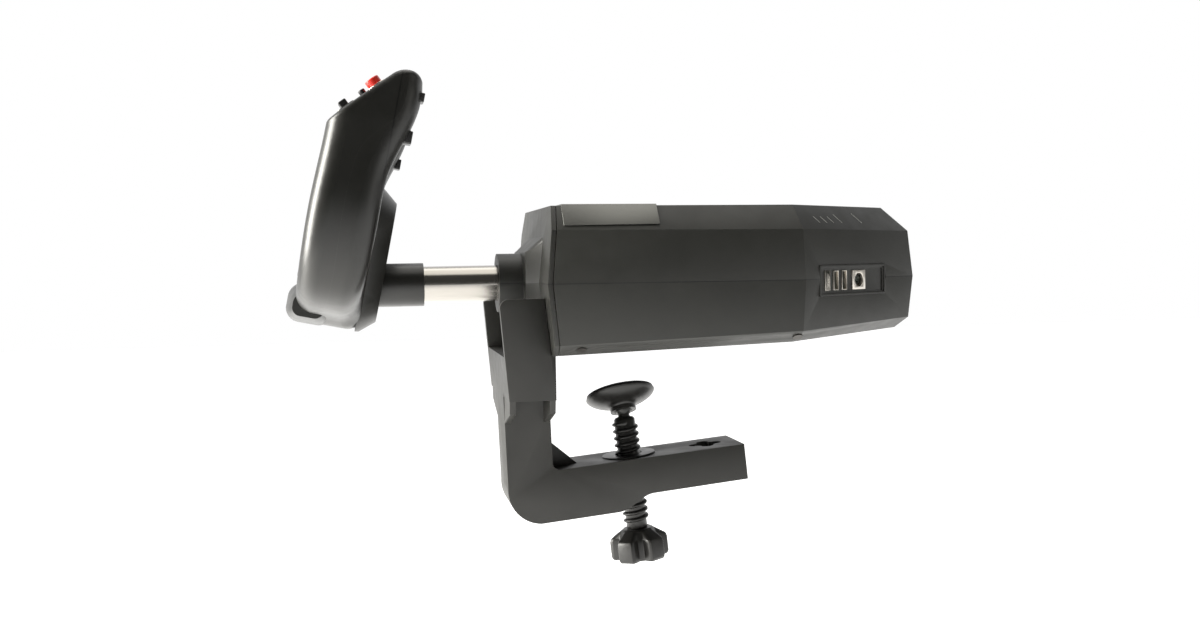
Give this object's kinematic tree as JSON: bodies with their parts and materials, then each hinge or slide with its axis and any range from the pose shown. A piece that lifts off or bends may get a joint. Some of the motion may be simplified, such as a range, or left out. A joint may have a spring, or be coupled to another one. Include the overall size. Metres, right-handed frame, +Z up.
{
  "type": "desk-clamp flight yoke",
  "caption": "Desk-clamp flight control yoke: a horned wheel on a sliding, turning shaft in a wedge-ended housing with side ports.",
  "frame": {"origin": "middle of the front edge of the housing's underside, where the desk's edge comes", "axes": "+X from the pilot towards the housing's rear end, along the shaft; +Y to the pilot's left; +Z up"},
  "size_m": [0.4404, 0.2736, 0.3346],
  "materials": {
    "dark_plastic": "satin moulded",
    "clamp_plastic": "satin moulded",
    "control_plastic": "satin",
    "screw_plastic": "satin",
    "port_panel_plastic": "satin",
    "red_plastic": "glossy",
    "chrome_shaft": "polished",
    "steel": "ground",
    "screw_steel": "black oxide",
    "spring_steel": "drawn",
    "bright_metal": "plated",
    "silver_plate": "satin anodised",
    "bush_plastic": "natural acetal",
    "port_plastic": "moulded",
    "board": "solder mask",
    "rubber": "matt",
    "display_glass": "clear",
    "display_grey": "satin",
    "brass": "turned",
    "sensor": "moulded"
  },
  "bodies": {
    "base": {"upper_housing": "dark_plastic", "lower_housing": "dark_plastic", "front_cover_upper": "dark_plastic", "front_cover_lower": "dark_plastic", "shaft_bush": "bush_plastic", "top_plate": "silver_plate", "housing_screws": "screw_steel", "port_panel": "port_panel_plastic", "usb_shells": "bright_metal", "mini_din_shell": "bright_metal", "port_cores": "port_plastic", "port_board": "board", "rod_towers": "dark_plastic", "guide_rods": "steel", "pitch_sensor": "sensor", "main_board": "board", "cable_gland": "rubber", "clamp_body": "clamp_plastic", "clamp_bolts": "screw_steel", "clamp_insert": "screw_plastic", "front_springs": "spring_steel", "rear_springs": "spring_steel"},
    "carriage": {"carriage": "bush_plastic", "carriage_sleeves": "brass", "roll_sensor": "sensor", "slide_rack": "bush_plastic"},
    "wheel": {"shaft": "chrome_shaft", "shaft_collar": "dark_plastic", "retaining_ring": "steel", "roll_gear": "bush_plastic", "wheel_front_shell": "dark_plastic", "wheel_rear_shell": "dark_plastic", "hub_rear_cover": "dark_plastic", "wheel_screws": "screw_steel", "display_bezel": "control_plastic", "display_panel": "display_grey", "display_lens": "display_glass", "wheel_board": "board", "toggle_frames": "bright_metal", "button_bezel": "bright_metal", "hat_base": "control_plastic"},
    "roll_pinion": {"roll_pinion": "bush_plastic"},
    "pitch_pinion": {"pitch_pinion": "bush_plastic"},
    "swivel_ball": {"swivel_ball": "screw_plastic"},
    "clamp_screw": {"clamp_screw": "screw_plastic", "clamp_knob": "screw_plastic"},
    "pad": {"pad_disc": "screw_plastic", "pad_facing": "rubber"},
    "red_button": {"red_button": "red_plastic"},
    "small_button": {"small_button": "control_plastic"},
    "toggle_right": {"toggle_right": "control_plastic"},
    "rear_button_right": {"rear_button_right": "control_plastic"},
    "trigger_right": {"trigger_right": "control_plastic"},
    "toggle_left": {"toggle_left": "control_plastic"},
    "rear_button_left": {"rear_button_left": "control_plastic"},
    "trigger_left": {"trigger_left": "control_plastic"},
    "timer_button_1": {"timer_button_1": "control_plastic"},
    "timer_button_2": {"timer_button_2": "control_plastic"},
    "timer_button_3": {"timer_button_3": "control_plastic"},
    "pov_hat": {"pov_hat": "control_plastic"}
  },
  "joints": [
    {"name": "wheel_slide", "type": "slide", "parent": "base", "child": "carriage", "axis": [1, 0, 0], "range_m": [-0.04, 0.04], "stiffness_N_per_m": 300, "deforming": ["front_springs", "rear_springs"]},
    {"name": "wheel_roll", "type": "hinge", "parent": "carriage", "child": "wheel", "pos_m": [0, 0, 0.048], "axis": [1, 0, 0], "range_deg": [-45, 45], "stiffness_Nm_per_rad": 2},
    {"name": "roll_pinion_spin", "type": "hinge", "parent": "carriage", "child": "roll_pinion", "pos_m": [0.077, 0, 0.072], "axis": [1, 0, 0], "range_deg": [-136, 136]},
    {"name": "pitch_pinion_spin", "type": "hinge", "parent": "base", "child": "pitch_pinion", "pos_m": [0.13, 0.06, 0.04], "axis": [0, 0, 1], "range_deg": [-288, 288]},
    {"name": "pad_travel", "type": "slide", "parent": "base", "child": "swivel_ball", "axis": [-0.1045, 0, 0.9945], "range_m": [-0.02, 0.015]},
    {"name": "screw_spin", "type": "hinge", "parent": "swivel_ball", "child": "clamp_screw", "pos_m": [0.063, 0, -0.0779], "axis": [-0.1045, 0, 0.9945], "range_deg": [-1441, 1081]},
    {"name": "pad_swivel", "type": "hinge", "parent": "swivel_ball", "child": "pad", "pos_m": [0.05945, 0, -0.04409], "axis": [1, 0, 0], "range_deg": [0, 48]},
    {"name": "red_button_press", "type": "slide", "parent": "wheel", "child": "red_button", "axis": [0.578, 0, -0.816], "range_m": [0, 0.0015], "stiffness_N_per_m": 400, "springref_m": -0.001},
    {"name": "small_button_press", "type": "slide", "parent": "wheel", "child": "small_button", "axis": [0.578, 0, -0.816], "range_m": [0, 0.001], "stiffness_N_per_m": 300, "springref_m": -0.001},
    {"name": "toggle_right_tilt", "type": "hinge", "parent": "wheel", "child": "toggle_right", "pos_m": [-0.12944, -0.114, 0.15661], "axis": [0, 1, 0], "range_deg": [-10, 10], "stiffness_Nm_per_rad": 0.02},
    {"name": "rear_button_right_press", "type": "slide", "parent": "wheel", "child": "rear_button_right", "axis": [-0.9796, 0, 0.2011], "range_m": [0, 0.001], "stiffness_N_per_m": 300, "springref_m": -0.001},
    {"name": "trigger_right_press", "type": "slide", "parent": "wheel", "child": "trigger_right", "axis": [-0.9796, 0, 0.2011], "range_m": [0, 0.0015], "stiffness_N_per_m": 300, "springref_m": -0.001},
    {"name": "toggle_left_tilt", "type": "hinge", "parent": "wheel", "child": "toggle_left", "pos_m": [-0.12944, 0.114, 0.15661], "axis": [0, 1, 0], "range_deg": [-10, 10], "stiffness_Nm_per_rad": 0.02},
    {"name": "rear_button_left_press", "type": "slide", "parent": "wheel", "child": "rear_button_left", "axis": [-0.9796, 0, 0.2011], "range_m": [0, 0.001], "stiffness_N_per_m": 300, "springref_m": -0.001},
    {"name": "trigger_left_press", "type": "slide", "parent": "wheel", "child": "trigger_left", "axis": [-0.9796, 0, 0.2011], "range_m": [0, 0.0015], "stiffness_N_per_m": 300, "springref_m": -0.001},
    {"name": "timer_button_1_press", "type": "slide", "parent": "wheel", "child": "timer_button_1", "axis": [0.9796, 0, -0.2011], "range_m": [0, 0.0008], "stiffness_N_per_m": 300, "springref_m": -0.001},
    {"name": "timer_button_2_press", "type": "slide", "parent": "wheel", "child": "timer_button_2", "axis": [0.9796, 0, -0.2011], "range_m": [0, 0.0008], "stiffness_N_per_m": 300, "springref_m": -0.001},
    {"name": "timer_button_3_press", "type": "slide", "parent": "wheel", "child": "timer_button_3", "axis": [0.9796, 0, -0.2011], "range_m": [0, 0.0008], "stiffness_N_per_m": 300, "springref_m": -0.001},
    {"name": "hat_tilt", "type": "hinge", "parent": "wheel", "child": "pov_hat", "pos_m": [-0.11079, 0.114, 0.16921], "axis": [0, 1, 0], "range_deg": [-6, 6], "stiffness_Nm_per_rad": 0.02}
  ],
  "couplings": [
    {"joint": "roll_pinion_spin", "follows": "wheel_roll", "ratio": -3},
    {"joint": "pitch_pinion_spin", "follows": "wheel_slide", "rad_per_m": 125},
    {"joint": "screw_spin", "follows": "pad_travel", "rad_per_m": 1256.6}
  ]
}
